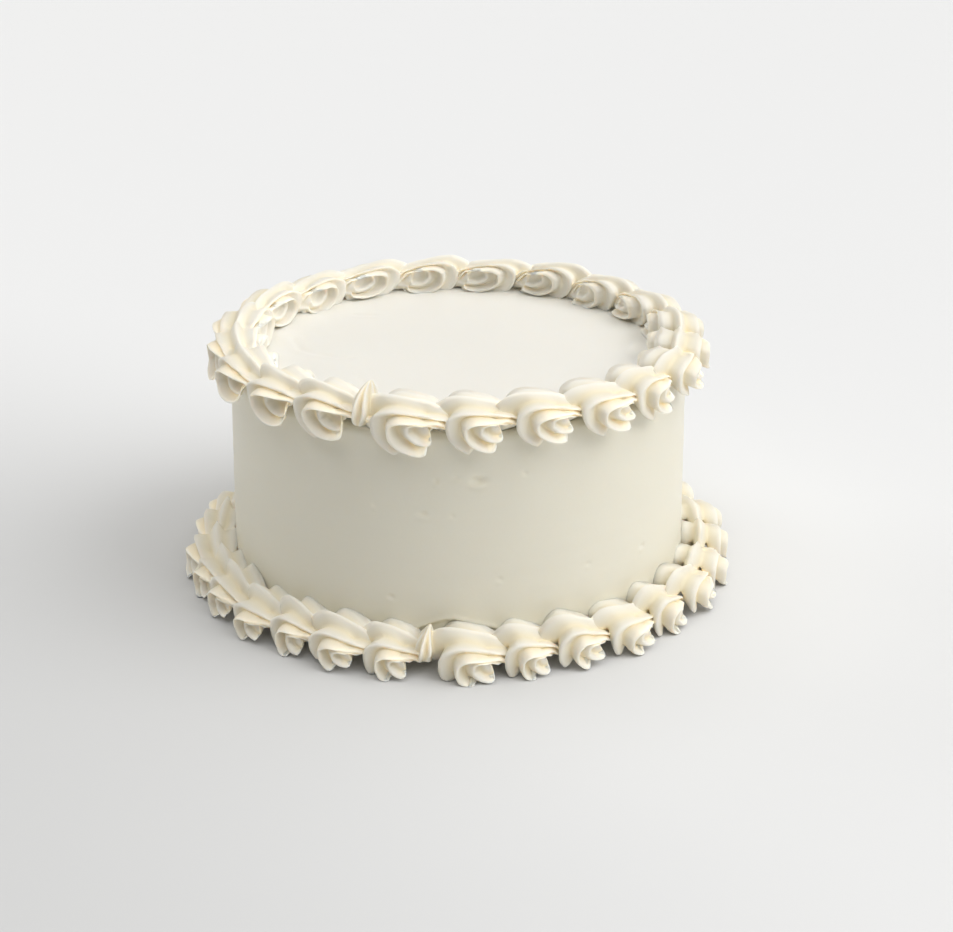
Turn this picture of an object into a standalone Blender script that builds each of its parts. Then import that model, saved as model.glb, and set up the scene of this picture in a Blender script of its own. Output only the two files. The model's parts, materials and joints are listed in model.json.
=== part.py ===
# A small round layer cake, iced smooth, with a piped shell border along its top edge
# and a second one round its foot. Metres, +Z up.
# The origin is the centre of the flat underside. The piping runs anticlockwise seen from above,
# and each border starts and ends at a seam a little left of the front, which faces -Y.

import math

import bpy
import bmesh

# The iced cake: a turned solid, a little wider at the foot than at the top.
CAKE_HEIGHT = 0.0800
CAKE_TOP_RADIUS = 0.0805
CAKE_FOOT_RADIUS = 0.0820
CAKE_EDGE_ROUNDING = 0.0030
CAKE_FOOT_ROUNDING = 0.0010
CAKE_SEGMENTS = 72
CAKE_ROUNDING_STEPS = 3
ICING_GAP = 0.0003

# One piped shell: a scroll round two poles, which lie to the sides of the piping line. Its section is
# toothed by the star tip, and each tooth runs on as a ridge that ends in a finger below the outer pole.
SHELL_CROWN_RISE = 0.0042
SHELL_FINGER_DROP = 0.0104
SHELL_TEETH = 8
SHELL_POLE_PLACE = 0.77
SHELL_RIDGE_DEPTH = 0.0015
SHELL_RIDGE_FADE = 0.20
CREST_ROUNDNESS = 0.80
SHELL_LEAN = 0.15
SHELL_SIDE_SAG = 0.12
SHELL_NARROWING_FADE = 0.50
OUTER_HOLLOW = 0.20
INNER_HOLLOW = 0.25
INNER_CREST_SHARE = 0.30
FINGER_TIP_PLACE = 0.88
FINGER_TIP_SPREAD = 0.12
FINGER_TIP_SPREAD_SQUARED = 0.18
FINGER_TIP_POINT = 0.09
FINGER_TIP_LENGTH = 0.035
FINGER_UNDERCUT = 0.50
FINGER_INSET = 0.45
FINGER_RIDGE_LOSS = 0.80
POCKET_FADE = 0.18
POCKET_END_START = 0.90
POCKET_END = 0.995
SHELL_SHIFT = 0.0005
FIRST_SHELL_DROP = 1.22
OUTER_ROWS = 26
INNER_ROWS = 14
TURN_SEGMENTS = 56

# The outline of a shell seen from outside, round its pole, from the tail over the crown to the fingers:
# forward in pitches, up in crown rises or down in finger drops, how deep the ridges are there, how they
# gather on the pole (1 spreads them evenly, less pushes them outwards), and how wide the shell is there.
SHELL_OUTLINE = (
    (0.66, -0.40, 0.7, 1.0, 0.56),
    (0.38, -0.03, 0.9, 1.0, 0.62),
    (0.06, 0.34, 1.0, 1.0, 0.78),
    (-0.26, 0.86, 1.0, 1.0, 0.94),
    (-0.56, 1.00, 1.0, 1.0, 1.00),
    (-0.79, 0.50, 1.0, 1.0, 1.00),
    (-0.84, -0.22, 1.1, 1.0, 1.00),
    (-0.72, -0.68, 1.1, 0.92, 0.98),
    (-0.44, -0.98, 1.1, 0.82, 0.98),
    (-0.08, -0.98, 1.1, 0.60, 0.98),
    (0.22, -0.72, 1.0, 0.44, 0.95),
    (0.30, -0.36, 0.7, 0.60, 0.80),
)

# The joined string of each border is resampled on a fine grid, then thinned to these many faces.
# That moves its faces by up to the grid loss, so the cutter of the iced cake is grown by as much.
STRING_GRID = 0.00045
STRING_FACES = 6300
GRID_LOSS = 0.0003

# The border on the top edge of the cake.
TOP_SHELLS = 21
TOP_RING_RADIUS = 0.0785
TOP_HALF_WIDTH = 0.0089
TOP_FIN_HALF_HEIGHT = 0.0078
TOP_POLE_HEIGHT = 0.0868
TOP_SEAM_ANGLE = math.radians(-111.5)
TOP_FIRST_STRETCH = 1.0
TOP_BACK_STRETCH = 0.10
TOP_BACK_STRETCH_ANGLE = math.radians(100)
TOP_UNEVENNESS = 0.05

# The border round the foot of the cake.
BASE_SHELLS = 28
BASE_RING_RADIUS = 0.0885
BASE_HALF_WIDTH = 0.0098
BASE_FIN_HALF_HEIGHT = 0.0062
BASE_POLE_HEIGHT = 0.0106
BASE_SEAM_ANGLE = math.radians(-96.5)
BASE_FIRST_STRETCH = 1.1
BASE_BACK_STRETCH = 0.13
BASE_BACK_STRETCH_ANGLE = math.radians(60)
BASE_UNEVENNESS = 0.08

# The thin blade of icing that the bag leaves where it is pulled off at the seam.
SEAM_ANGLE_WIDTH = math.radians(4)
FIN_THICKNESS = 0.0014
FIN_HALF_WIDTH = 0.0062
FIN_RISE = 0.0012
FIN_LEAN = 0.25
FIN_SEGMENTS = 8
FIN_RINGS = 5

BUTTERCREAM = (0.87, 0.84, 0.75, 1.0)
PIPED_BUTTERCREAM = (0.90, 0.87, 0.78, 1.0)
ICING_ROUGHNESS = 0.45


def clear_scene():
    for item in list(bpy.data.objects):
        bpy.data.objects.remove(item, do_unlink=True)


def new_collection(name):
    collection = bpy.data.collections.new(name)
    bpy.context.scene.collection.children.link(collection)
    return collection


def icing_material(name, colour):
    material = bpy.data.materials.new(name)
    material.use_nodes = True
    shader = material.node_tree.nodes["Principled BSDF"]
    shader.inputs["Base Color"].default_value = colour
    shader.inputs["Roughness"].default_value = ICING_ROUGHNESS
    shader.inputs["Metallic"].default_value = 0.0
    material.diffuse_color = colour
    return material


def mesh_object(name, mesh_data, collection, material=None):
    mesh = bpy.data.meshes.new(name)
    mesh_data.to_mesh(mesh)
    mesh_data.free()
    if material:
        mesh.materials.append(material)
    item = bpy.data.objects.new(name, mesh)
    collection.objects.link(item)
    return item


def cake_profile(grow):
    """The turned profile of the iced cake, grown by a margin, down its outer side from the top's centre."""
    top = CAKE_HEIGHT + grow
    edge = CAKE_EDGE_ROUNDING + grow
    foot = CAKE_FOOT_ROUNDING + grow
    points = [(0.0, top)]
    for step in range(CAKE_ROUNDING_STEPS + 1):
        turn = math.pi / 2 * step / CAKE_ROUNDING_STEPS
        points.append((
            CAKE_TOP_RADIUS - CAKE_EDGE_ROUNDING + edge * math.sin(turn),
            CAKE_HEIGHT - CAKE_EDGE_ROUNDING + edge * math.cos(turn),
        ))
    points.append((CAKE_FOOT_RADIUS + grow, CAKE_FOOT_ROUNDING))
    points.append((CAKE_FOOT_RADIUS - CAKE_FOOT_ROUNDING, CAKE_FOOT_ROUNDING - foot))
    points.append((0.0, -grow))
    return points


def turned_cake(name, grow, collection, material=None):
    """A turned solid of the cake's form, made from its profile by a Screw modifier."""
    profile = bmesh.new()
    vertices = [profile.verts.new((radius, 0.0, height)) for radius, height in cake_profile(grow)]
    for upper, lower in zip(vertices, vertices[1:]):
        profile.edges.new((upper, lower))
    item = mesh_object(name, profile, collection, material)
    screw = item.modifiers.new("Turn", "SCREW")
    screw.steps = screw.render_steps = CAKE_SEGMENTS
    screw.use_merge_vertices = True
    screw.merge_threshold = 0.00005
    screw.use_smooth_shade = True
    return item


def uneven(number, salt):
    """A steady rule that varies one piped shell from the next, between -1 and 1."""
    return math.sin(2.39996 * number + 1.7 * salt)


def shell_places(border):
    """The angle where each shell starts and the angle that it takes."""
    shares = []
    average = math.tau / border["count"]
    for number in range(border["count"]):
        direction = border["seam_angle"] + average * number
        share = 1 + border["back_stretch"] * math.cos(direction - border["back_stretch_angle"])
        share += border["unevenness"] * uneven(number, 1)
        shares.append(share * (border["first_stretch"] if number == 0 else 1))
    scale = (math.tau - SEAM_ANGLE_WIDTH) / sum(shares)
    places = []
    angle = border["seam_angle"] + SEAM_ANGLE_WIDTH / 2
    for share in shares:
        places.append((angle, share * scale))
        angle += share * scale
    return places


def outline_at(turn):
    """The shell's outline at a place round it, from 0 to 1, on a smooth closed curve through its points."""
    count = len(SHELL_OUTLINE)
    place = turn * count
    index = math.floor(place)
    part = place - index
    before, start, end, after = (SHELL_OUTLINE[(index + step) % count] for step in (-1, 0, 1, 2))
    return [
        b + 0.5 * part * (c - a + part * (2 * a - 5 * b + 4 * c - d + part * (3 * (b - c) + d - a)))
        for a, b, c, d in zip(before, start, end, after)
    ]


def fade(low, high, value):
    part = min(max((value - low) / (high - low), 0.0), 1.0)
    return part * part * (3 - 2 * part)


def finger_tuck(share, beside, turn):
    """How far the surface has gone in behind the finger tips, from 0 on the fingers to 1 in the pocket."""
    tip = FINGER_TIP_PLACE - FINGER_TIP_SPREAD * share - FINGER_TIP_SPREAD_SQUARED * share ** 2
    past_tip = turn - tip + FINGER_TIP_POINT * beside
    tucked = fade(0.0, FINGER_TIP_LENGTH, past_tip) * (1 - fade(POCKET_END_START, POCKET_END, turn))
    return tucked * fade(0.0, POCKET_FADE, share)


def shell_point(tooth, turn, border, number, start, pitch):
    """A point of a shell from its angle round the toothed section and its place round the outline.

    The section angle is 0 along the crown, half a turn at the outer pole and minus that at the inner one.
    """
    forward, up, depth, gather, width = outline_at(turn)
    wild = border["unevenness"]
    drop = FIRST_SHELL_DROP if number == 0 else 1 + 2 * wild * uneven(number, 3)
    rise = 1 + 2 * wild * uneven(number, 2)
    up *= SHELL_CROWN_RISE * rise if up > 0 else SHELL_FINGER_DROP * drop
    forward *= pitch * border["radius"]

    share = max(1 - abs(tooth) / math.pi, 0.0)
    crest = (0.5 + 0.5 * math.cos(SHELL_TEETH * tooth)) ** CREST_ROUNDNESS
    beside = math.acos(math.cos(SHELL_TEETH * tooth)) / math.pi
    tuck = finger_tuck(share, beside, turn)
    ridge = (2 * crest - 1) * SHELL_RIDGE_DEPTH * depth * fade(0.0, SHELL_RIDGE_FADE, share)
    ridge *= 1 - FINGER_RIDGE_LOSS * tuck
    spread = share ** gather * (1 - FINGER_UNDERCUT * tuck)
    crown = math.cos(tooth)
    reach = spread + ridge * max(crown, INNER_CREST_SHARE * crown) / math.hypot(forward, up)

    side = math.sin(tooth)
    if abs(tooth) > math.pi / 2:
        hollow = OUTER_HOLLOW if tooth > 0 else INNER_HOLLOW
        side = math.copysign(1 - hollow * (1 - abs(side)), tooth)
    half_width = border["half_width"] * (1 + wild * uneven(number, 4))
    half_width *= 1 - (1 - width) * fade(0.0, SHELL_NARROWING_FADE, share)
    outward = half_width * side * (1 - FINGER_INSET * tuck) + ridge * math.sin(tooth)

    angle = start + pitch * SHELL_POLE_PLACE + forward * reach / border["radius"]
    radius = border["radius"] + outward + SHELL_SHIFT * uneven(number, 5)
    sag = SHELL_LEAN * outward + SHELL_SIDE_SAG * outward ** 2 / border["half_width"]
    height = border["pole_height"] + up * reach - sag
    return radius * math.cos(angle), radius * math.sin(angle), height


def piped_shell(name, border, number, start, pitch, collection, material):
    """One shell: closed rings round the outline, from the outer pole over the crown to the inner pole."""
    shell = bmesh.new()

    def vertex_at(tooth, turn):
        return shell.verts.new(shell_point(tooth, turn, border, number, start, pitch))

    turns = [step / TURN_SEGMENTS for step in range(TURN_SEGMENTS)]
    teeth = [math.pi * (1 - step / OUTER_ROWS) for step in range(1, OUTER_ROWS)]
    teeth += [-math.pi * step / INNER_ROWS for step in range(INNER_ROWS)]
    outer_pole = vertex_at(math.pi, 0.0)
    rings = [[vertex_at(tooth, turn) for turn in turns] for tooth in teeth]
    inner_pole = vertex_at(-math.pi, 0.0)
    for index in range(TURN_SEGMENTS):
        after = (index + 1) % TURN_SEGMENTS
        shell.faces.new((outer_pole, rings[0][index], rings[0][after]))
        shell.faces.new((inner_pole, rings[-1][after], rings[-1][index]))
        for ring, next_ring in zip(rings, rings[1:]):
            shell.faces.new((ring[after], ring[index], next_ring[index], next_ring[after]))
    bmesh.ops.recalc_face_normals(shell, faces=shell.faces)
    return mesh_object(name, shell, collection, material)


def seam_fin(name, border, collection, material):
    """The upright blade at the seam: a flattened sphere across the border."""
    fin = bmesh.new()
    bmesh.ops.create_uvsphere(fin, u_segments=FIN_SEGMENTS, v_segments=FIN_RINGS, radius=1.0)
    for vertex in fin.verts:
        forward = vertex.co.x * FIN_THICKNESS + FIN_LEAN * border["fin_half_height"] * vertex.co.z
        radius = border["radius"] + vertex.co.y * FIN_HALF_WIDTH
        angle = border["seam_angle"] + forward / border["radius"]
        height = border["pole_height"] + FIN_RISE + vertex.co.z * border["fin_half_height"]
        vertex.co = (radius * math.cos(angle), radius * math.sin(angle), height)
    bmesh.ops.recalc_face_normals(fin, faces=fin.faces)
    return mesh_object(name, fin, collection, material)


def apply_modifiers(item):
    graph = bpy.context.evaluated_depsgraph_get()
    mesh = bpy.data.meshes.new_from_object(item.evaluated_get(graph))
    item.modifiers.clear()
    item.data = mesh


def keep_outer_skin(item):
    """Fill the hollows that joining sealed and drop loose scraps: only the largest connected skin stays."""
    data = bmesh.new()
    data.from_mesh(item.data)
    unseen = set(data.faces)
    skins = []
    while unseen:
        skin = []
        front = [unseen.pop()]
        while front:
            face = front.pop()
            skin.append(face)
            for edge in face.edges:
                for neighbour in edge.link_faces:
                    if neighbour in unseen:
                        unseen.remove(neighbour)
                        front.append(neighbour)
        skins.append(skin)
    skins.sort(key=len)
    for skin in skins[:-1]:
        bmesh.ops.delete(data, geom=skin, context="FACES")
    data.to_mesh(item.data)
    data.free()


def cut_away(item, cutter):
    cut = item.modifiers.new("Clear of " + cutter.name, "BOOLEAN")
    cut.operation = "DIFFERENCE"
    cut.object = cutter
    cut.solver = "MANIFOLD"


def resample(item):
    """Give a joined string even faces with no folds, then thin them where the surface is flat."""
    grid = item.modifiers.new("Grid", "REMESH")
    grid.mode = "VOXEL"
    grid.voxel_size = STRING_GRID
    apply_modifiers(item)
    keep_outer_skin(item)
    faces = sum(len(polygon.vertices) - 2 for polygon in item.data.polygons)
    thin = item.modifiers.new("Thin", "DECIMATE")
    thin.ratio = STRING_FACES / faces
    thin.use_collapse_triangulate = True
    apply_modifiers(item)
    for vertex in item.data.vertices:
        if vertex.co.z < STRING_GRID:
            vertex.co.z = 0.0


def piped_border(name, border, parts, cutters, material):
    """All shells of one border and its seam blade, joined into one string of icing."""
    strings = new_collection(name + "_shells")
    places = shell_places(border)
    for number, (start, pitch) in enumerate(places[1:], start=1):
        piped_shell(f"{name}_{number}", border, number, start, pitch, strings, material)
    seam_fin(name + "_fin", border, strings, material)

    start, pitch = places[0]
    string = piped_shell(name, border, 0, start, pitch, parts, material)
    join = string.modifiers.new("Join", "BOOLEAN")
    join.operation = "UNION"
    join.operand_type = "COLLECTION"
    join.collection = strings
    join.solver = "MANIFOLD"
    for cutter in cutters:
        cut_away(string, cutter)
    apply_modifiers(string)
    for item in list(strings.objects):
        bpy.data.objects.remove(item, do_unlink=True)
    bpy.data.collections.remove(strings)

    resample(string)
    string.data.shade_smooth()
    string.data.set_sharp_from_angle(angle=math.radians(60))
    return string


def floor_cutter(collection):
    """A block whose top is the plane that the cake stands on."""
    block = bmesh.new()
    bmesh.ops.create_cube(block, size=1.0)
    width = 4 * CAKE_FOOT_RADIUS
    for vertex in block.verts:
        vertex.co.x *= width
        vertex.co.y *= width
        vertex.co.z = (vertex.co.z - 0.5) * CAKE_HEIGHT
    return mesh_object("floor_cutter", block, collection)


def hide_cutters(cutters):
    for cutter in cutters:
        cutter.hide_render = True
        cutter.display_type = "WIRE"


def build_cake():
    clear_scene()
    parts = new_collection("layer_cake")
    tools = new_collection("cutters")
    buttercream = icing_material("smooth_buttercream", BUTTERCREAM)
    piped = icing_material("piped_buttercream", PIPED_BUTTERCREAM)

    turned_cake("iced_cake", 0.0, parts, buttercream)
    cake_cutter = turned_cake("cake_cutter", ICING_GAP + GRID_LOSS, tools)
    floor = floor_cutter(tools)
    hide_cutters((cake_cutter, floor))

    top_border = {
        "count": TOP_SHELLS,
        "radius": TOP_RING_RADIUS,
        "half_width": TOP_HALF_WIDTH,
        "pole_height": TOP_POLE_HEIGHT,
        "seam_angle": TOP_SEAM_ANGLE,
        "first_stretch": TOP_FIRST_STRETCH,
        "back_stretch": TOP_BACK_STRETCH,
        "back_stretch_angle": TOP_BACK_STRETCH_ANGLE,
        "unevenness": TOP_UNEVENNESS,
        "fin_half_height": TOP_FIN_HALF_HEIGHT,
    }
    base_border = {
        "count": BASE_SHELLS,
        "radius": BASE_RING_RADIUS,
        "half_width": BASE_HALF_WIDTH,
        "pole_height": BASE_POLE_HEIGHT,
        "seam_angle": BASE_SEAM_ANGLE,
        "first_stretch": BASE_FIRST_STRETCH,
        "back_stretch": BASE_BACK_STRETCH,
        "back_stretch_angle": BASE_BACK_STRETCH_ANGLE,
        "unevenness": BASE_UNEVENNESS,
        "fin_half_height": BASE_FIN_HALF_HEIGHT,
    }
    piped_border("top_shell_border", top_border, parts, (cake_cutter,), piped)
    piped_border("base_shell_border", base_border, parts, (cake_cutter, floor), piped)


build_cake()
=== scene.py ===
import json
import math

import bmesh
import bpy
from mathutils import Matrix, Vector, noise

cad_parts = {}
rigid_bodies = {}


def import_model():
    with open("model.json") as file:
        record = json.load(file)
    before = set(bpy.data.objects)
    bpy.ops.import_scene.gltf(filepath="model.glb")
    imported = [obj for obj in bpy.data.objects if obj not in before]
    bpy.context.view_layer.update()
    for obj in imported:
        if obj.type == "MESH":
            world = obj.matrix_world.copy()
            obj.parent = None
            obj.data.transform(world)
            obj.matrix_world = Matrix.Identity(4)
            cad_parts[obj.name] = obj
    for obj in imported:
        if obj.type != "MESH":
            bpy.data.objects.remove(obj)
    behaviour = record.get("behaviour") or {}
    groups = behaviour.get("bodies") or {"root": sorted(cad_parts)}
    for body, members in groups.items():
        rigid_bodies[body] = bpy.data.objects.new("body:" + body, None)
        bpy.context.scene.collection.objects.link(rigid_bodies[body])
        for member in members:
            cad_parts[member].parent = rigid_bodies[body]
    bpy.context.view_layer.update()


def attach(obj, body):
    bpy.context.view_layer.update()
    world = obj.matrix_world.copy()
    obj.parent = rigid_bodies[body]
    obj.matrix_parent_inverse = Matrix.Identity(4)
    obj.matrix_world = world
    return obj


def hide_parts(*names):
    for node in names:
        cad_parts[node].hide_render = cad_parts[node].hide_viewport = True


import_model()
print("frame loaded")

# The cake stands at the origin with its front towards -Y. The icing was piped anticlockwise, seen from above.
# Each border is laid out straight first: X along the piping, Y towards the cake's axis, Z up.


def fade(low, high, value):
    part = min(max((value - low) / (high - low), 0.0), 1.0)
    return part * part * (3 - 2 * part)


def bump(place, width):
    return math.exp(-(place / width) ** 2)


def uneven(number, salt):
    return math.sin(2.39996 * number + 1.7 * salt)  # -1 to 1, steady from run to run


def blend(low, high, part):
    return low + (high - low) * part


# a piece's painted-shade attribute, 0 to 1, leads from its cream to its painted-shade cream: painted shade in
# the piping's hollows and folds, painted warm shade on the cake's side; a little cloudy random tone leans the
# same way
icing = {
    "topCream": (0.868, 0.846, 0.780, 1.0),
    # painted shade: the cake's side is warmer and darker than its top; the top leans a little towards it by
    # random cloudy tone
    "sideCreamPaintedShadeAndTone": (0.862, 0.826, 0.695, 1.0),
    "pipedCream": (0.880, 0.862, 0.795, 1.0),
    # painted shade: the warmer, darker cream of the piping's hollows between ridges and in the scrolls, also
    # reached a little by random cloudy tone
    "pipedCreamPaintedShadeAndTone": (0.87, 0.79, 0.59, 1.0),
    "refraction": 1.45,
    "specular": 0.24,
    "roughnessLow": 0.36,
    "roughnessHigh": 0.50,
    "scatterWeight": 0.75,
    "scatterRadius": (1.0, 0.76, 0.48),
    "scatterScale": 0.0018,
    "cloudSize": 38.0,
    "cloudDetail": 3.0,
    "cloudTint": 0.12,
    "grainSize": 900.0,
    "grainDetail": 2.0,
    "grainHeight": 0.0002,
    "smoothGrain": 0.10,
    "pipedGrain": 0.08,
}


def inScene(item):
    bpy.context.scene.collection.objects.link(item)
    return item


def finishedMesh(data, name):
    bmesh.ops.recalc_face_normals(data, faces=data.faces)
    mesh = bpy.data.meshes.new(name)
    data.to_mesh(mesh)
    data.free()
    return mesh


def closeRings(data, first, rings, last):
    count = len(rings[0])
    for index in range(count):
        after = (index + 1) % count
        data.faces.new((first, rings[0][index], rings[0][after]))
        data.faces.new((last, rings[-1][after], rings[-1][index]))
        for upper, lower in zip(rings, rings[1:]):
            data.faces.new((upper[after], upper[index], lower[index], lower[after]))


def triangles(item):
    return sum(len(face.vertices) - 2 for face in item.data.polygons)


def addNode(tree, kind, **settings):
    node = tree.nodes.new(kind)
    for name, value in settings.items():
        setattr(node, name, value)
    return node


def icingMaterial(name, cream, paintedShadeAndToneCream, grainStrength):
    material = bpy.data.materials.new(name)
    material.use_nodes = True
    material.diffuse_color = cream
    tree = material.node_tree
    link = tree.links.new
    shader = tree.nodes["Principled BSDF"]
    shader.inputs["Metallic"].default_value = 0.0
    shader.inputs["IOR"].default_value = icing["refraction"]
    shader.inputs["Specular IOR Level"].default_value = icing["specular"]
    shader.inputs["Subsurface Weight"].default_value = icing["scatterWeight"]
    shader.inputs["Subsurface Radius"].default_value = icing["scatterRadius"]
    shader.inputs["Subsurface Scale"].default_value = icing["scatterScale"]
    shader.subsurface_method = "BURLEY"

    onPiece = addNode(tree, "ShaderNodeTexCoord").outputs["Object"]
    cloud = addNode(tree, "ShaderNodeTexNoise")
    cloud.inputs["Scale"].default_value = icing["cloudSize"]
    cloud.inputs["Detail"].default_value = icing["cloudDetail"]
    link(onPiece, cloud.inputs["Vector"])
    # reads the painted shade attribute: darker, warmer cream in hollows, folds and on the cake's side
    depth = addNode(tree, "ShaderNodeAttribute", attribute_name="paintedShade")
    amount = addNode(tree, "ShaderNodeMath", operation="MULTIPLY_ADD", use_clamp=True)
    amount.inputs[1].default_value = icing["cloudTint"]
    link(cloud.outputs["Fac"], amount.inputs[0])
    link(depth.outputs["Fac"], amount.inputs[2])
    tint = addNode(tree, "ShaderNodeMix", data_type="RGBA")
    tint.inputs["A"].default_value = cream
    tint.inputs["B"].default_value = paintedShadeAndToneCream
    link(amount.outputs[0], tint.inputs["Factor"])
    link(tint.outputs["Result"], shader.inputs["Base Color"])

    sheen = addNode(tree, "ShaderNodeMapRange")
    sheen.inputs["To Min"].default_value = icing["roughnessLow"]
    sheen.inputs["To Max"].default_value = icing["roughnessHigh"]
    link(cloud.outputs["Fac"], sheen.inputs["Value"])
    link(sheen.outputs["Result"], shader.inputs["Roughness"])

    grain = addNode(tree, "ShaderNodeTexNoise")
    grain.inputs["Scale"].default_value = icing["grainSize"]
    grain.inputs["Detail"].default_value = icing["grainDetail"]
    link(onPiece, grain.inputs["Vector"])
    relief = addNode(tree, "ShaderNodeBump")
    relief.inputs["Strength"].default_value = grainStrength
    relief.inputs["Distance"].default_value = icing["grainHeight"]
    link(grain.outputs["Fac"], relief.inputs["Height"])
    link(relief.outputs["Normal"], shader.inputs["Normal"])
    return material


smoothButtercream = icingMaterial(
    "smoothButtercream", icing["topCream"], icing["sideCreamPaintedShadeAndTone"], icing["smoothGrain"])
pipedButtercream = icingMaterial(
    "pipedButtercream", icing["pipedCream"], icing["pipedCreamPaintedShadeAndTone"], icing["pipedGrain"])
print("buttercream mixed")


# One piped shell, laid out straight. A tooth is an angle round the squeezed string: 0 along the crown, half a
# turn at the hollows of the scroll, outer side above 0. A turn, 0 to 1, leads once round the outline. A share
# is 1 on the crown and 0 in the hollows.
shell = {
    "drop": 0.0104,
    "firstDrop": 1.22,
    "polePlace": 0.77,
    "shift": 0.0005,
    "lean": 0.15,
    "sideSag": 0.12,
    "narrowShare": 0.5,
    # the ridges that the nozzle's teeth leave, and the turns between which they are sharp
    "teeth": 8,
    "ridgeDepth": 0.00150,
    "ridgeShare": 0.2,
    "ridgeBelow": 0.3,
    "crestRoundness": 0.80,
    "sharpness": 1.35,
    "sharpFrom": (0.02, 0.22),
    "sharpTo": (0.54, 0.68),
    # the fingers: from the turn in tips on, their icing tucks in behind the tip
    "tipPoint": 0.11,
    "tipPointShares": (0.06, 0.3),
    "tipLength": 0.035,
    "tuckShare": 0.18,
    "undercut": 0.50,
    "inset": 0.45,
    "tuckedRidge": 0.2,
    "pocketEnd": (0.90, 0.995),
    "hollow": 0.20,
    # shells that curl shut
    "curlTips": (0.99, 0.97, 0.93, 0.70, 0.57),
    "curlHollow": 0.80,
    "curlRidgeShare": 0.5,
    # curlShades: the shares over which the painted shade in a curled shell's hollow fades out
    "curlShades": (0.05, 0.40),
    # the inner side; innerFrom and liftFrom are parts of the way from the crown to the hollow
    "innerFrom": 0.25,
    "innerSettle": 0.0042,
    "settleBefore": (0.0, 0.12),
    "settleAfter": (0.80, 0.95),
    "innerLift": 0.0012,
    "liftFrom": 0.5,
    "innerHollow": 0.25,
    # innerShade: the part of the painted shade that stays on the inner side
    "innerShade": 0.35,
    # steps of the mesh: up to each turn, and rows from hollow to crown
    "steps": ((0.54, 25), (0.90, 33), (1.0, 12)),
    "outerRows": 33,
    # forward in pitches, up in rises or down in drops, ridge depth, gather on the pole, width
    "outline": (
        (0.66, -0.40, 0.35, 1.0, 0.56),
        (0.38, -0.03, 0.95, 1.0, 0.62),
        (0.06, 0.34, 1.2, 1.0, 0.78),
        (-0.26, 0.86, 1.35, 1.0, 0.94),
        (-0.56, 1.00, 1.5, 1.0, 1.00),
        (-0.79, 0.50, 1.55, 1.0, 1.00),
        (-0.84, -0.22, 1.45, 1.0, 1.00),
        (-0.72, -0.68, 1.3, 0.92, 0.98),
        (-0.44, -0.98, 1.3, 0.82, 0.98),
        (-0.08, -0.98, 1.25, 0.60, 0.98),
        (0.22, -0.72, 1.1, 0.44, 0.95),
        (0.30, -0.36, 0.15, 0.60, 0.80),
    ),
}


def outlineAt(turn):
    points = shell["outline"]
    count = len(points)
    place = turn * count
    index = math.floor(place)
    part = place - index
    four = [points[(index + step) % count] for step in (-1, 0, 1, 2)]
    return [
        b + 0.5 * part * (c - a + part * (2 * a - 5 * b + 4 * c - d + part * (3 * (b - c) + d - a)))
        for a, b, c, d in zip(*four)
    ]


def atShare(values, share):
    place = share * (len(values) - 1)
    step = min(int(place), len(values) - 2)
    return blend(values[step], values[step + 1], place - step)


def shellPoint(tooth, turn, form, row):
    forward, up, depth, gather, width = row
    up *= form["rise"] if up > 0 else form["drop"]
    forward *= form["pitch"]
    curl = form["curl"]
    share = max(1 - abs(tooth) / math.pi, 0.0)
    inwards = -tooth / math.pi
    inner = fade(0.0, shell["innerFrom"], inwards)

    wave = math.cos(shell["teeth"] * tooth)
    beside = math.acos(wave) / math.pi  # 0 on a ridge, 1 in a valley
    crest = (0.5 + 0.5 * wave) ** shell["crestRoundness"]
    sharp = fade(*shell["sharpFrom"], turn) * (1 - fade(*shell["sharpTo"], turn))
    crest = blend(crest, (1 - beside) ** shell["sharpness"], sharp)
    ridge = (2 * crest - 1) * shell["ridgeDepth"] * depth
    ridge *= fade(0.0, blend(shell["ridgeShare"], shell["curlRidgeShare"], curl), share)

    tip = blend(atShare(form["tips"], share), atShare(shell["curlTips"], share), curl)
    tip -= shell["tipPoint"] * beside * fade(*shell["tipPointShares"], share)
    tuck = fade(0.0, shell["tipLength"], turn - tip) * (1 - fade(*shell["pocketEnd"], turn))
    tuck *= fade(0.0, shell["tuckShare"], share) * (1 - inner)
    ridge *= blend(1.0, shell["tuckedRidge"], tuck)

    outwards = math.cos(tooth)
    reach = share ** gather * (1 - shell["undercut"] * tuck)
    reach += ridge * max(outwards, shell["ridgeBelow"] * outwards) / math.hypot(forward, up)
    side = math.sin(tooth)
    if abs(tooth) > math.pi / 2:
        hollow = blend(shell["hollow"], shell["curlHollow"], curl) if tooth > 0 else shell["innerHollow"]
        side = math.copysign(1 - hollow * (1 - abs(side)), tooth)
    narrowing = 1 - (1 - width) * fade(0.0, shell["narrowShare"], share)
    outward = form["halfWidth"] * side * narrowing * (1 - shell["inset"] * tuck) + ridge * math.sin(tooth)

    height = up * reach - shell["lean"] * outward - shell["sideSag"] * outward ** 2 / form["halfWidth"]
    # the inner side lies down on the icing all along, and its scroll sits higher
    settled = max(fade(*shell["settleAfter"], turn), 1 - fade(*shell["settleBefore"], turn))
    height -= shell["innerSettle"] * inner * reach * settled
    height += shell["innerLift"] * fade(shell["liftFrom"], 1.0, inwards)
    # painted shade: the hollow of a curled shell and the valleys between the ridges get the darker cream,
    # less of it on the inner side
    shade = curl * (1 - fade(*shell["curlShades"], share)) if tooth > 0 else 0.0
    paintedShade = max(1 - crest, shade) * blend(1.0, shell["innerShade"], inner)
    return (forward * reach, -outward - form["shift"], height), paintedShade


def shellTurns():
    turns = []
    start = 0.0
    for end, count in shell["steps"]:
        turns += [start + (end - start) * step / count for step in range(count)]
        start = end
    return turns


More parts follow.
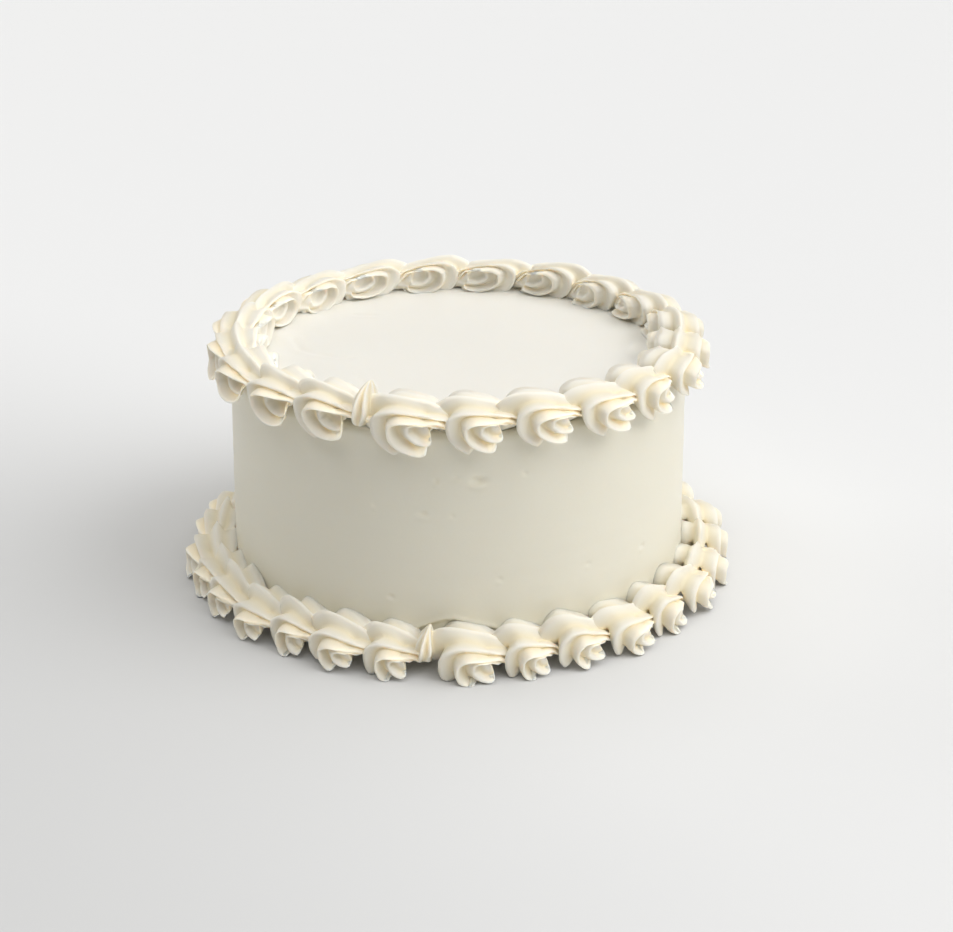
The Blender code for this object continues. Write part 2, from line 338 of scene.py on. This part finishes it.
def shellMesh(name, form):
    data = bmesh.new()
    paintedShade = data.verts.layers.float.new("paintedShade")
    turns = [(turn, outlineAt(turn)) for turn in shellTurns()]

    def vertexAt(tooth, turn, row):
        point, depth = shellPoint(tooth, turn, form, row)
        vertex = data.verts.new(point)
        vertex[paintedShade] = depth
        return vertex

    teeth = [math.pi * (1 - step / shell["outerRows"]) for step in range(1, shell["outerRows"])]
    teeth += [-math.pi * step / form["innerRows"] for step in range(form["innerRows"])]
    outer = vertexAt(math.pi, *turns[0])
    rings = [[vertexAt(tooth, turn, row) for turn, row in turns] for tooth in teeth]
    inner = vertexAt(-math.pi, *turns[0])
    closeRings(data, outer, rings, inner)
    return finishedMesh(data, name)


topBorder = {
    "name": "topShellBorder",
    "node": "top_shell_border",
    "count": 21,
    "radius": 0.0785,
    "halfWidth": 0.0089,
    "poleHeight": 0.0868,
    "rise": 0.0042,
    "tips": (0.88, 0.84, 0.775, 0.68, 0.57),
    "curlDirection": math.radians(-155),
    "curlWidth": math.radians(38),
    "seamAngle": math.radians(-111.5),
    "firstStretch": 1.0,
    "backStretch": 0.10,
    "backStretchAngle": math.radians(100),
    "unevenness": 0.05,
    "innerRows": 24,
    "finHalfHeight": 0.0078,
}
baseBorder = {
    "name": "baseShellBorder",
    "node": "base_shell_border",
    "count": 28,
    "radius": 0.0885,
    "halfWidth": 0.0098,
    "poleHeight": 0.0092,
    "rise": 0.0056,
    "tips": (0.88, 0.84, 0.69, 0.61, 0.53),
    "curlDirection": math.radians(170),
    "curlWidth": math.radians(22),
    "seamAngle": math.radians(-96.5),
    "firstStretch": 1.1,
    "backStretch": 0.13,
    "backStretchAngle": math.radians(60),
    "unevenness": 0.08,
    "innerRows": 16,
    "finHalfHeight": 0.0062,
}
piping = {
    "seamWidth": math.radians(4),
    "wobble": 0.0014,
    "wobbleSize": 70.0,
    "squash": 0.0012,
}


def shellPlaces(border):
    shares = []
    average = math.tau / border["count"]
    for number in range(border["count"]):
        direction = border["seamAngle"] + average * number
        share = 1 + border["backStretch"] * math.cos(direction - border["backStretchAngle"])
        share += border["unevenness"] * uneven(number, 1)
        shares.append(share * (border["firstStretch"] if number == 0 else 1))
    scale = (math.tau - piping["seamWidth"]) / sum(shares)
    places = []
    angle = piping["seamWidth"] / 2
    for share in shares:
        places.append((angle, share * scale))
        angle += share * scale
    return places


def shellForm(border, number, start, pitch):
    wild = border["unevenness"]
    direction = border["seamAngle"] + start + 0.5 * pitch
    aside = (direction - border["curlDirection"] + math.pi) % math.tau - math.pi
    return {
        "pitch": pitch * border["radius"],
        "rise": border["rise"] * (1 + 2 * wild * uneven(number, 2)),
        "drop": shell["drop"] * (shell["firstDrop"] if number == 0 else 1 + 2 * wild * uneven(number, 3)),
        "halfWidth": border["halfWidth"] * (1 + wild * uneven(number, 4)),
        "shift": shell["shift"] * uneven(number, 5),
        "tips": border["tips"],
        "curl": bump(aside, border["curlWidth"]),
        "innerRows": border["innerRows"],
    }


def pipedBorderTree():
    tree = bpy.data.node_groups.new("pipedBorder", "GeometryNodeTree")
    inputs = {}
    for name, kind in (
        ("String", "NodeSocketGeometry"),
        ("Shells", "NodeSocketCollection"),
        ("Ring Radius", "NodeSocketFloat"),
        ("Seam Angle", "NodeSocketFloat"),
        ("Pole Height", "NodeSocketFloat"),
        ("Wobble", "NodeSocketFloat"),
        ("Wobble Size", "NodeSocketFloat"),
        ("Icing", "NodeSocketMaterial"),
    ):
        inputs[name] = tree.interface.new_socket(name=name, in_out="INPUT", socket_type=kind).identifier
    tree.interface.new_socket(name="Border", in_out="OUTPUT", socket_type="NodeSocketGeometry")
    link = tree.links.new
    given = addNode(tree, "NodeGroupInput").outputs

    def arithmetic(operation, *values):
        node = addNode(tree, "ShaderNodeMath", operation=operation)
        for socket, value in zip(node.inputs, values):
            link(value, socket)
        return node.outputs[0]

    # one shell on each point of the straight string
    shells = addNode(tree, "GeometryNodeCollectionInfo")
    shells.inputs["Separate Children"].default_value = True
    shells.inputs["Reset Children"].default_value = True
    link(given["Shells"], shells.inputs["Collection"])
    laid = addNode(tree, "GeometryNodeInstanceOnPoints")
    laid.inputs["Pick Instance"].default_value = True
    link(given["String"], laid.inputs["Points"])
    link(shells.outputs["Instances"], laid.inputs["Instance"])
    link(addNode(tree, "GeometryNodeInputIndex").outputs[0], laid.inputs["Instance Index"])
    real = addNode(tree, "GeometryNodeRealizeInstances")
    link(laid.outputs["Instances"], real.inputs["Geometry"])

    # soft unevenness of a hand-held bag
    wave = addNode(tree, "ShaderNodeTexNoise")
    link(given["Wobble Size"], wave.inputs["Scale"])
    wave.inputs["Detail"].default_value = 1.0
    centred = addNode(tree, "ShaderNodeVectorMath", operation="SUBTRACT")
    centred.inputs[1].default_value = (0.5, 0.5, 0.5)
    link(wave.outputs["Color"], centred.inputs[0])
    sized = addNode(tree, "ShaderNodeVectorMath", operation="SCALE")
    link(centred.outputs[0], sized.inputs[0])
    link(given["Wobble"], sized.inputs["Scale"])
    loose = addNode(tree, "GeometryNodeSetPosition")
    link(real.outputs[0], loose.inputs["Geometry"])
    link(sized.outputs[0], loose.inputs["Offset"])

    # the string bent round the cake
    split = addNode(tree, "ShaderNodeSeparateXYZ")
    link(addNode(tree, "GeometryNodeInputPosition").outputs[0], split.inputs[0])
    turned = arithmetic("DIVIDE", split.outputs[0], given["Ring Radius"])
    angle = arithmetic("ADD", turned, given["Seam Angle"])
    radius = arithmetic("SUBTRACT", given["Ring Radius"], split.outputs[1])
    joined = addNode(tree, "ShaderNodeCombineXYZ")
    link(arithmetic("MULTIPLY", radius, arithmetic("COSINE", angle)), joined.inputs[0])
    link(arithmetic("MULTIPLY", radius, arithmetic("SINE", angle)), joined.inputs[1])
    link(arithmetic("ADD", split.outputs[2], given["Pole Height"]), joined.inputs[2])
    bent = addNode(tree, "GeometryNodeSetPosition")
    link(loose.outputs[0], bent.inputs["Geometry"])
    link(joined.outputs[0], bent.inputs["Position"])
    smooth = addNode(tree, "GeometryNodeSetShadeSmooth")
    link(bent.outputs[0], smooth.inputs["Geometry"])
    coated = addNode(tree, "GeometryNodeSetMaterial")
    link(smooth.outputs[0], coated.inputs["Geometry"])
    link(given["Icing"], coated.inputs["Material"])
    link(coated.outputs[0], addNode(tree, "NodeGroupOutput").inputs[0])
    return tree, inputs


fin = {
    "segments": 60,
    "rows": 40,
    "folds": 7,
    "foldDepth": 0.20,
    "thickness": 0.0024,
    "halfWidth": 0.0072,
    "thickMiddle": 1.15,
    "thinning": 0.45,
    "narrowing": 0.25,
    "rise": 0.0006,
    "slant": 0.0006,
    "lean": 0.20,
    "twist": 1.4,
}


def finMesh(name, border):
    # where the bag is pulled off: an upright folded blade, thicker low down, its tip leaning over
    data = bmesh.new()
    paintedShade = data.verts.layers.float.new("paintedShade")
    half = border["finHalfHeight"]

    def vertexAt(polar, azimuth):
        up = math.cos(polar)
        fold = math.cos(fin["folds"] * azimuth + fin["twist"] * up)
        grow = math.sin(polar) * (1 + fin["foldDepth"] * fold * math.sin(polar) ** 2)
        thick = fin["thickness"] * (fin["thickMiddle"] - fin["thinning"] * up)
        wide = fin["halfWidth"] * (1 - fin["narrowing"] * up)
        vertex = data.verts.new((
            math.cos(azimuth) * grow * thick + fin["lean"] * half * up * abs(up),
            -math.sin(azimuth) * grow * wide,
            fin["rise"] + up * half + fin["slant"] * math.sin(azimuth) * math.sin(polar),
        ))
        # painted shade in the blade's folds
        vertex[paintedShade] = 0.5 - 0.5 * fold
        return vertex

    azimuths = [math.tau * step / fin["segments"] for step in range(fin["segments"])]
    polars = [math.pi * row / fin["rows"] for row in range(1, fin["rows"])]
    rings = [[vertexAt(polar, azimuth) for azimuth in azimuths] for polar in polars]
    closeRings(data, vertexAt(0.0, 0.0), rings, vertexAt(math.pi, 0.0))
    return finishedMesh(data, name)


borderTree, borderSockets = pipedBorderTree()


def pipedBorder(border):
    loose = bpy.data.collections.new(border["name"] + "Shells")
    bpy.context.scene.collection.children.link(loose)
    places = shellPlaces(border)
    meshes = [shellMesh(f"shell{number:02d}", shellForm(border, number, start, pitch))
              for number, (start, pitch) in enumerate(places)]
    meshes.append(finMesh("shellSeam", border))
    for number, mesh in enumerate(meshes):
        loose.objects.link(bpy.data.objects.new(f"{border['name']}{number:02d}", mesh))

    string = bpy.data.meshes.new(border["name"])
    along = [(start + pitch * shell["polePlace"]) * border["radius"] for start, pitch in places] + [0.0]
    string.from_pydata([(place, 0.0, 0.0) for place in along], [], [])
    item = inScene(bpy.data.objects.new(border["name"], string))
    bend = item.modifiers.new("Piped border", "NODES")
    bend.node_group = borderTree
    for name, value in (
        ("Shells", loose),
        ("Ring Radius", border["radius"]),
        ("Seam Angle", border["seamAngle"]),
        ("Pole Height", border["poleHeight"]),
        ("Wobble", piping["wobble"]),
        ("Wobble Size", piping["wobbleSize"]),
        ("Icing", pipedButtercream),
    ):
        bend[borderSockets[name]] = value
    graph = bpy.context.evaluated_depsgraph_get()
    result = bpy.data.meshes.new_from_object(item.evaluated_get(graph))
    item.modifiers.clear()
    item.data = result
    for part in list(loose.objects):
        bpy.data.objects.remove(part, do_unlink=True)
    bpy.data.collections.remove(loose)
    squash = piping["squash"]
    for vertex in item.data.vertices:
        if vertex.co.z < squash:  # fingers that meet the floor flatten softly on it
            vertex.co.z = squash * math.exp((vertex.co.z - squash) / squash)
    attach(item, "root")
    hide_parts(border["node"])
    print(border["name"], "piped,", triangles(item), "triangles")


pipedBorder(topBorder)
pipedBorder(baseBorder)


cake = {
    "height": 0.0800,
    "topRadius": 0.0805,
    "footRadius": 0.0820,
    "edge": 0.0030,
    "foot": 0.0010,
    "segments": 448,
    "frontFocus": 0.60,
    "sideRows": 128,
    "topRows": 80,
    "edgeRows": 4,
    # how much painted warm shade the cake's side, edge and foot get
    "sidePaintedShade": 0.9,
    # size of the waves and how close they are: the side's soft waves and faint level bands, then the top's
    "sideWaves": ((0.00035, 1.6, 14.4), (0.00010, 0.7, 260.0)),
    "topWaves": (0.00035, 26.0),
    # degrees from the front, height, half length, half height, depth, how much it is bent like a smile
    "pits": (
        (5.0, 0.0636, 0.0024, 0.0011, 0.00130, 0.16),
        (-7.8, 0.0519, 0.0016, 0.0008, 0.00080, 0.00),
        (-4.6, 0.0634, 0.0009, 0.0007, 0.00050, 0.00),
        (-0.1, 0.0649, 0.0012, 0.0006, 0.00040, 0.00),
        (15.6, 0.0652, 0.0009, 0.0007, 0.00050, 0.00),
        (-19.2, 0.0536, 0.0008, 0.0007, 0.00040, 0.00),
        (-15.4, 0.0215, 0.0012, 0.0007, 0.00050, 0.00),
        (-1.0, 0.0514, 0.0008, 0.0007, 0.00030, 0.00),
        (9.9, 0.0285, 0.0009, 0.0007, 0.00040, 0.00),
        (32.2, 0.0288, 0.0008, 0.0007, 0.00040, 0.00),
        (50.4, 0.0273, 0.0010, 0.0008, 0.00060, 0.00),
    ),
    "pitLip": 0.45,
    "pitLipDrop": 1.7,
    # where the coat ends above the foot: degrees from the front and height
    "coatEdge": ((-16.0, 0.0144), (-10.5, 0.0102), (-5.9, 0.0130), (-2.5, 0.0146), (-0.7, 0.0148),
                 (3.8, 0.0128), (8.8, 0.0109), (14.0, 0.0085)),
    "coatStart": (-16.0, -12.0),
    "coatEnd": (8.6, 9.4),
    "coatStep": 0.0010,
    "coatSoftness": 0.0007,
    "coatLip": 0.3,
    "coatLipRise": 0.0006,
    "coatRags": 0.0003,
    "coatRagWaves": 0.9,
    # the spatula's strokes on the top: radius and degrees from the front, then their depth
    "strokes": (
        (((0.0613, -101.2), (0.0564, -90.6), (0.0516, -85.8), (0.0430, -79.3), (0.0391, -76.6)), 0.00030),
        (((0.0444, -50.0), (0.0468, -40.8)), 0.00018),
        (((0.0553, -135.4), (0.0506, -141.2)), 0.00018),
    ),
    "strokeWidth": 0.0013,
    "strokeLip": 0.5,
    "strokeLipPlace": 1.8,
}


def sideRelief(angle, height):
    relief = 0.0
    for size, waves, wavesUp in cake["sideWaves"]:
        at = Vector((math.cos(angle) * waves, math.sin(angle) * waves, height * wavesUp))
        relief += size * noise.noise(at)
    front = math.degrees(angle + math.pi / 2)
    for direction, level, long, tall, deep, bent in cake["pits"]:
        beside = math.radians(front - direction) * cake["topRadius"] / long
        rise = (height - level) / tall - bent * beside ** 2
        if abs(beside) < 3 and abs(rise) < 5:
            relief -= deep * math.exp(-beside ** 2 - rise ** 2)
            relief += cake["pitLip"] * deep * math.exp(-beside ** 2 - (rise + cake["pitLipDrop"]) ** 2)
    for (left, leftLevel), (right, rightLevel) in zip(cake["coatEdge"], cake["coatEdge"][1:]):
        if left <= front < right:
            level = blend(leftLevel, rightLevel, (front - left) / (right - left))
            level += cake["coatRags"] * noise.noise(Vector((front * cake["coatRagWaves"], 0.0, 5.0)))
            step = cake["coatStep"] * fade(*cake["coatStart"], front) * (1 - fade(*cake["coatEnd"], front))
            relief -= step * (1 - fade(level - cake["coatSoftness"], level, height))
            lip = height - level - cake["coatLipRise"]
            relief += cake["coatLip"] * step * bump(lip, cake["coatSoftness"])
    return relief


def topRelief(x, y):
    here = Vector((x, y))
    size, waves = cake["topWaves"]
    relief = size * noise.noise(Vector((x * waves, y * waves, 3.1)))
    for points, deep in cake["strokes"]:
        line = [Vector((radius * math.sin(math.radians(turn)), -radius * math.cos(math.radians(turn))))
                for radius, turn in points]
        near = 1.0
        for start, end in zip(line, line[1:]):
            way = end - start
            part = min(max((here - start).dot(way) / way.length_squared, 0.0), 1.0)
            near = min(near, (here - start - way * part).length)
        relief -= deep * bump(near, cake["strokeWidth"])
        lip = near - cake["strokeLipPlace"] * cake["strokeWidth"]
        relief += cake["strokeLip"] * deep * bump(lip, cake["strokeWidth"])
    return relief


def bodyMesh(name):
    data = bmesh.new()
    paintedShade = data.verts.layers.float.new("paintedShade")
    count = cake["segments"]
    angles = []
    for step in range(count):
        turn = math.tau * (step + 0.5) / count - math.pi
        angles.append(turn - cake["frontFocus"] * math.sin(turn) - math.pi / 2)
    profile = []
    for row in range(1, cake["topRows"]):
        inside = (cake["topRadius"] - cake["edge"]) * row / cake["topRows"]
        profile.append((inside, cake["height"], "top"))
    for step in range(cake["edgeRows"] + 1):
        turn = math.pi / 2 * step / cake["edgeRows"]
        profile.append((
            cake["topRadius"] - cake["edge"] * (1 - math.sin(turn)),
            cake["height"] - cake["edge"] * (1 - math.cos(turn)), "edge"))
    tall = cake["height"] - cake["edge"] - cake["foot"]
    for row in range(1, cake["sideRows"] + 1):
        part = row / cake["sideRows"]
        profile.append((blend(cake["topRadius"], cake["footRadius"], part),
                        cake["height"] - cake["edge"] - tall * part, "side"))
    profile.append((cake["footRadius"] - cake["foot"], 0.0, "foot"))

    rings = []
    for radius, height, kind in profile:
        ring = []
        for angle in angles:
            away = radius + (sideRelief(angle, height) if kind == "side" else 0.0)
            x, y = away * math.cos(angle), away * math.sin(angle)
            vertex = data.verts.new((x, y, height + (topRelief(x, y) if kind == "top" else 0.0)))
            # painted warm shade on the side, edge and foot; none on the top
            vertex[paintedShade] = 0.0 if kind == "top" else cake["sidePaintedShade"]
            ring.append(vertex)
        rings.append(ring)
    centre = data.verts.new((0.0, 0.0, cake["height"] + topRelief(0.0, 0.0)))
    under = data.verts.new((0.0, 0.0, 0.0))
    for index in range(count):
        after = (index + 1) % count
        data.faces.new((centre, rings[0][index], rings[0][after]))
        data.faces.new((under, rings[-1][after], rings[-1][index]))
        for upper, lower in zip(rings, rings[1:]):
            data.faces.new((upper[index], lower[index], lower[after], upper[after]))
    return finishedMesh(data, name)


body = inScene(bpy.data.objects.new("icedBody", bodyMesh("icedBody")))
body.data.materials.append(smoothButtercream)
body.data.shade_smooth()
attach(body, "root")
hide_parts("iced_cake")
print("cake iced,", triangles(body), "triangles")


studio = {
    "floorHalf": 6.0,
    "floorRoughness": 0.9,
    "floorSpecular": 0.1,
    "floorColour": (0.82, 0.82, 0.815, 1.0),
    # a painted shadow: the floor darkens towards a soft patch at the front left
    "floorPaintedShadow": (0.62, 0.62, 0.615, 1.0),
    "floorPaintedShadowPlace": (-0.45, -0.30, 0.0),
    "floorPaintedShadowReach": (0.28, 0.66),
    "worldColour": (1.0, 0.995, 0.985, 1.0),
    "worldStrength": 0.17,
    "lights": (
        # name, height above the floor and direction from the cake in degrees, width in degrees, strength
        ("overheadLight", 74.0, -5.0, 105.0, 2.02),
        ("keyLight", 41.0, -14.0, 50.0, 1.12),
        ("rimLight", 16.0, 154.0, 30.0, 0.60),
    ),
    "cameraPlace": (0.0064, -0.616, 0.294),
    "cameraTilt": math.radians(90 - 22.8),
    "cameraLens": 1830 / 953 * 36,
}


def floorMaterial():
    material = bpy.data.materials.new("paleFloor")
    material.use_nodes = True
    tree = material.node_tree
    shader = tree.nodes["Principled BSDF"]
    shader.inputs["Roughness"].default_value = studio["floorRoughness"]
    shader.inputs["Specular IOR Level"].default_value = studio["floorSpecular"]
    onFloor = addNode(tree, "ShaderNodeTexCoord").outputs["Object"]
    # painted shadow: darker floor colour near a place at the front left, fading out with distance
    away = addNode(tree, "ShaderNodeVectorMath", operation="DISTANCE")
    away.inputs[1].default_value = studio["floorPaintedShadowPlace"]
    soft = addNode(tree, "ShaderNodeMapRange", interpolation_type="SMOOTHSTEP")
    soft.inputs["From Min"].default_value, soft.inputs["From Max"].default_value = studio["floorPaintedShadowReach"]
    tint = addNode(tree, "ShaderNodeMix", data_type="RGBA")
    tint.inputs["A"].default_value = studio["floorPaintedShadow"]
    tint.inputs["B"].default_value = studio["floorColour"]
    tree.links.new(onFloor, away.inputs[0])
    tree.links.new(away.outputs["Value"], soft.inputs["Value"])
    tree.links.new(soft.outputs["Result"], tint.inputs["Factor"])
    tree.links.new(tint.outputs["Result"], shader.inputs["Base Color"])
    return material


floorMesh = bpy.data.meshes.new("floor")
half = studio["floorHalf"]
corners = [(-half, -half, 0), (half, -half, 0), (half, half, 0), (-half, half, 0)]
floorMesh.from_pydata(corners, [], [(0, 1, 2, 3)])
floorMesh.materials.append(floorMaterial())
floor = inScene(bpy.data.objects.new("floor", floorMesh))

for name, height, direction, width, strength in studio["lights"]:
    lamp = bpy.data.lights.new(name, "SUN")
    lamp.angle = math.radians(width)
    lamp.energy = strength
    light = inScene(bpy.data.objects.new(name, lamp))
    light.rotation_euler = (0.0, math.radians(90 - height), math.radians(direction))

world = bpy.data.worlds.new("softRoom")
bpy.context.scene.world = world
world.use_nodes = True
room = world.node_tree.nodes["Background"]
room.inputs["Color"].default_value = studio["worldColour"]
room.inputs["Strength"].default_value = studio["worldStrength"]
bpy.context.scene.view_settings.view_transform = "Standard"

lens = bpy.data.cameras.new("camera")
lens.sensor_width = 36.0
lens.lens = studio["cameraLens"]
lens.clip_start = 0.01
camera = inScene(bpy.data.objects.new("camera", lens))
camera.location = studio["cameraPlace"]
camera.rotation_euler = (studio["cameraTilt"], 0.0, 0.0)
bpy.context.scene.camera = camera
print("studio set")
